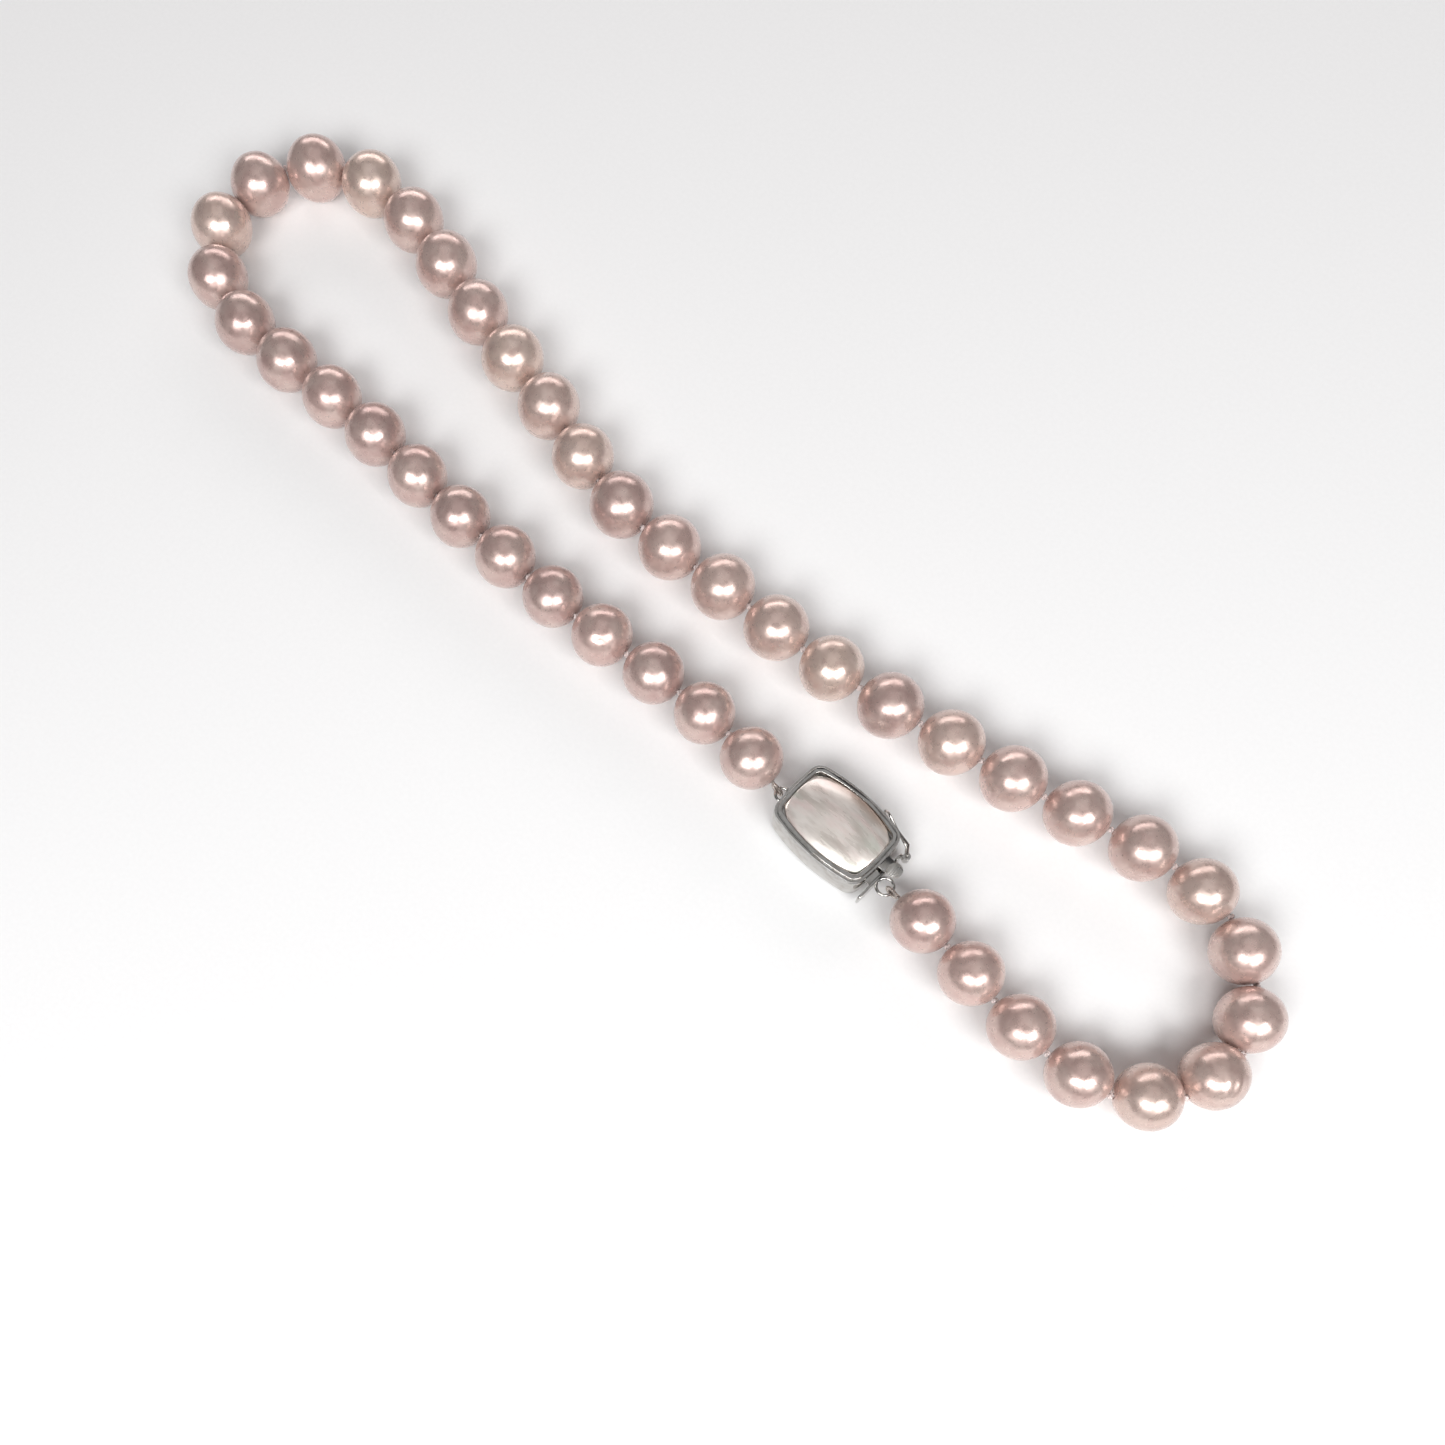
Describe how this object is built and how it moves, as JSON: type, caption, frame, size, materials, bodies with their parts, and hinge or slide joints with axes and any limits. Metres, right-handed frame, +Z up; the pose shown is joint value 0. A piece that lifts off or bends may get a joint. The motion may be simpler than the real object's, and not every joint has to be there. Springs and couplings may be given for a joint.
{
  "type": "pearl necklace",
  "caption": "Knotted strand of rosy round pearls, laid in a long loop and closed by a silver box clasp with a domed mother-of-pearl stone and a safety catch.",
  "frame": {"origin": "centre of the clasp's back, on the surface the necklace lies on", "axes": "+Z up, away from that surface; +X along the clasp, the way its tongue is pulled out; +Y across the laid loop, from the clasp's row to the other row"},
  "size_m": [0.2027, 0.0398, 0.0094],
  "materials": {
    "pearl_rose": "gloss",
    "pearl_mauve": "gloss",
    "pearl_cream": "gloss",
    "silver": "polished",
    "brushed_silver": "satin",
    "gimp_wire": "satin",
    "mother_of_pearl": "gloss",
    "silk": "satin"
  },
  "bodies": {
    "clasp_box": {"box_walls": "silver", "back_plate": "silver", "stone_seat": "silver", "bezel": "silver", "mother_of_pearl": "mother_of_pearl", "left_ring": "silver", "catch_stud": "silver", "silk_cord": "silk"},
    "tongue": {"spring_lower_leaf": "silver", "end_plate": "silver", "right_ring": "silver", "catch_tube": "silver"},
    "thumb_spring": {"spring_upper_leaf": "silver", "thumb_tab": "brushed_silver"},
    "catch": {"safety_catch": "silver"},
    "pearls_01_to_04": {"pearl_01": "pearl_rose", "gimp_left": "gimp_wire", "pearl_02": "pearl_mauve", "pearl_03": "pearl_mauve", "pearl_04": "pearl_rose"},
    "pearls_05_to_08": {"pearl_05": "pearl_mauve", "pearl_06": "pearl_rose", "pearl_07": "pearl_mauve", "pearl_08": "pearl_rose"},
    "pearls_09_to_12": {"pearl_09": "pearl_mauve", "pearl_10": "pearl_rose", "pearl_11": "pearl_mauve", "pearl_12": "pearl_mauve"},
    "pearls_13_to_16": {"pearl_13": "pearl_rose", "pearl_14": "pearl_cream", "pearl_15": "pearl_rose", "pearl_16": "pearl_rose"},
    "pearls_17_to_20": {"pearl_17": "pearl_cream", "pearl_18": "pearl_rose", "pearl_19": "pearl_rose", "pearl_20": "pearl_rose"},
    "pearls_21_to_24": {"pearl_21": "pearl_cream", "pearl_22": "pearl_rose", "pearl_23": "pearl_rose", "pearl_24": "pearl_rose"},
    "pearls_25_to_28": {"pearl_25": "pearl_rose", "pearl_26": "pearl_rose", "pearl_27": "pearl_rose", "pearl_28": "pearl_cream"},
    "pearls_29_to_32": {"pearl_29": "pearl_rose", "pearl_30": "pearl_rose", "pearl_31": "pearl_rose", "pearl_32": "pearl_rose"},
    "pearls_33_to_36": {"pearl_33": "pearl_rose", "pearl_34": "pearl_rose", "pearl_35": "pearl_rose", "pearl_36": "pearl_rose"},
    "pearls_37_to_40": {"pearl_37": "pearl_rose", "pearl_38": "pearl_rose", "pearl_39": "pearl_rose", "pearl_40": "pearl_rose"},
    "pearls_41_to_42": {"pearl_41": "pearl_rose", "pearl_42": "pearl_rose", "gimp_right": "gimp_wire"}
  },
  "joints": [
    {"name": "ring_to_pearl_01", "type": "hinge", "parent": "clasp_box", "child": "pearls_01_to_04", "pos_m": [-0.0095, -0.0014, 0.00435], "axis": [0, 0, 1], "range_deg": [-0.13, 3.91]},
    {"name": "knot_04_bend", "type": "hinge", "parent": "pearls_01_to_04", "child": "pearls_05_to_08", "pos_m": [-0.04778, -0.00236, 0.00438], "axis": [0, 0, 1], "range_deg": [-15.52, 0.35]},
    {"name": "knot_08_bend", "type": "hinge", "parent": "pearls_05_to_08", "child": "pearls_09_to_12", "pos_m": [-0.08567, -0.00245, 0.00446], "axis": [0, 0, 1], "range_deg": [-0.13, 4.04]},
    {"name": "knot_12_bend", "type": "hinge", "parent": "pearls_09_to_12", "child": "pearls_13_to_16", "pos_m": [-0.12411, -0.00249, 0.0045], "axis": [0, 0, 1], "range_deg": [-4.11, 0.13]},
    {"name": "knot_16_bend", "type": "hinge", "parent": "pearls_13_to_16", "child": "pearls_17_to_20", "pos_m": [-0.12797, 0.02662, 0.00462], "axis": [0, 0, 1], "range_deg": [-0.59, 27.62]},
    {"name": "knot_20_bend", "type": "hinge", "parent": "pearls_17_to_20", "child": "pearls_21_to_24", "pos_m": [-0.08932, 0.02143, 0.00461], "axis": [0, 0, 1], "range_deg": [-26.01, 0.56]},
    {"name": "knot_24_bend", "type": "hinge", "parent": "pearls_21_to_24", "child": "pearls_25_to_28", "pos_m": [-0.05046, 0.01396, 0.00462], "axis": [0, 0, 1], "range_deg": [-0.13, 3.92]},
    {"name": "knot_28_bend", "type": "hinge", "parent": "pearls_25_to_28", "child": "pearls_29_to_32", "pos_m": [-0.01129, 0.0171, 0.00457], "axis": [0, 0, 1], "range_deg": [-0.13, 3.93]},
    {"name": "knot_32_bend", "type": "hinge", "parent": "pearls_29_to_32", "child": "pearls_33_to_36", "pos_m": [0.02678, 0.02495, 0.00448], "axis": [0, 0, 1], "range_deg": [-0.15, 5.2]},
    {"name": "knot_36_bend", "type": "hinge", "parent": "pearls_33_to_36", "child": "pearls_37_to_40", "pos_m": [0.05834, 0.01337, 0.0044], "axis": [0, 0, 1], "range_deg": [-0.22, 8.61]},
    {"name": "knot_40_bend", "type": "hinge", "parent": "pearls_37_to_40", "child": "pearls_41_to_42", "pos_m": [0.03117, -0.00327, 0.00437], "axis": [0, 0, 1], "range_deg": [-0.13, 3.95]},
    {"name": "tongue_slide", "type": "slide", "parent": "clasp_box", "child": "tongue", "axis": [1, 0, 0], "range_m": [0, 0.01], "deforming": ["silk_cord"]},
    {"name": "thumb_press", "type": "hinge", "parent": "tongue", "child": "thumb_spring", "pos_m": [-0.0012, 0, 0.00232], "axis": [0, 1, 0], "range_deg": [-1.6, 3], "stiffness_Nm_per_rad": 0.004},
    {"name": "safety_catch_swing", "type": "hinge", "parent": "tongue", "child": "catch", "pos_m": [0.0096, 0.0039, 0.0024], "axis": [0, 0, -1], "range_deg": [-8.3, 130]}
  ],
  "couplings": [
    {"joint": "ring_to_pearl_01", "follows": "tongue_slide", "rad_per_m": 6.5981},
    {"joint": "knot_04_bend", "follows": "tongue_slide", "rad_per_m": -26.468},
    {"joint": "knot_08_bend", "follows": "tongue_slide", "rad_per_m": 6.8356},
    {"joint": "knot_12_bend", "follows": "tongue_slide", "rad_per_m": -6.9413},
    {"joint": "knot_16_bend", "follows": "tongue_slide", "rad_per_m": 47.175},
    {"joint": "knot_20_bend", "follows": "tongue_slide", "rad_per_m": -44.416},
    {"joint": "knot_24_bend", "follows": "tongue_slide", "rad_per_m": 6.6296},
    {"joint": "knot_28_bend", "follows": "tongue_slide", "rad_per_m": 6.6348},
    {"joint": "knot_32_bend", "follows": "tongue_slide", "rad_per_m": 8.8144},
    {"joint": "knot_36_bend", "follows": "tongue_slide", "rad_per_m": 14.645},
    {"joint": "knot_40_bend", "follows": "tongue_slide", "rad_per_m": 6.6684}
  ]
}
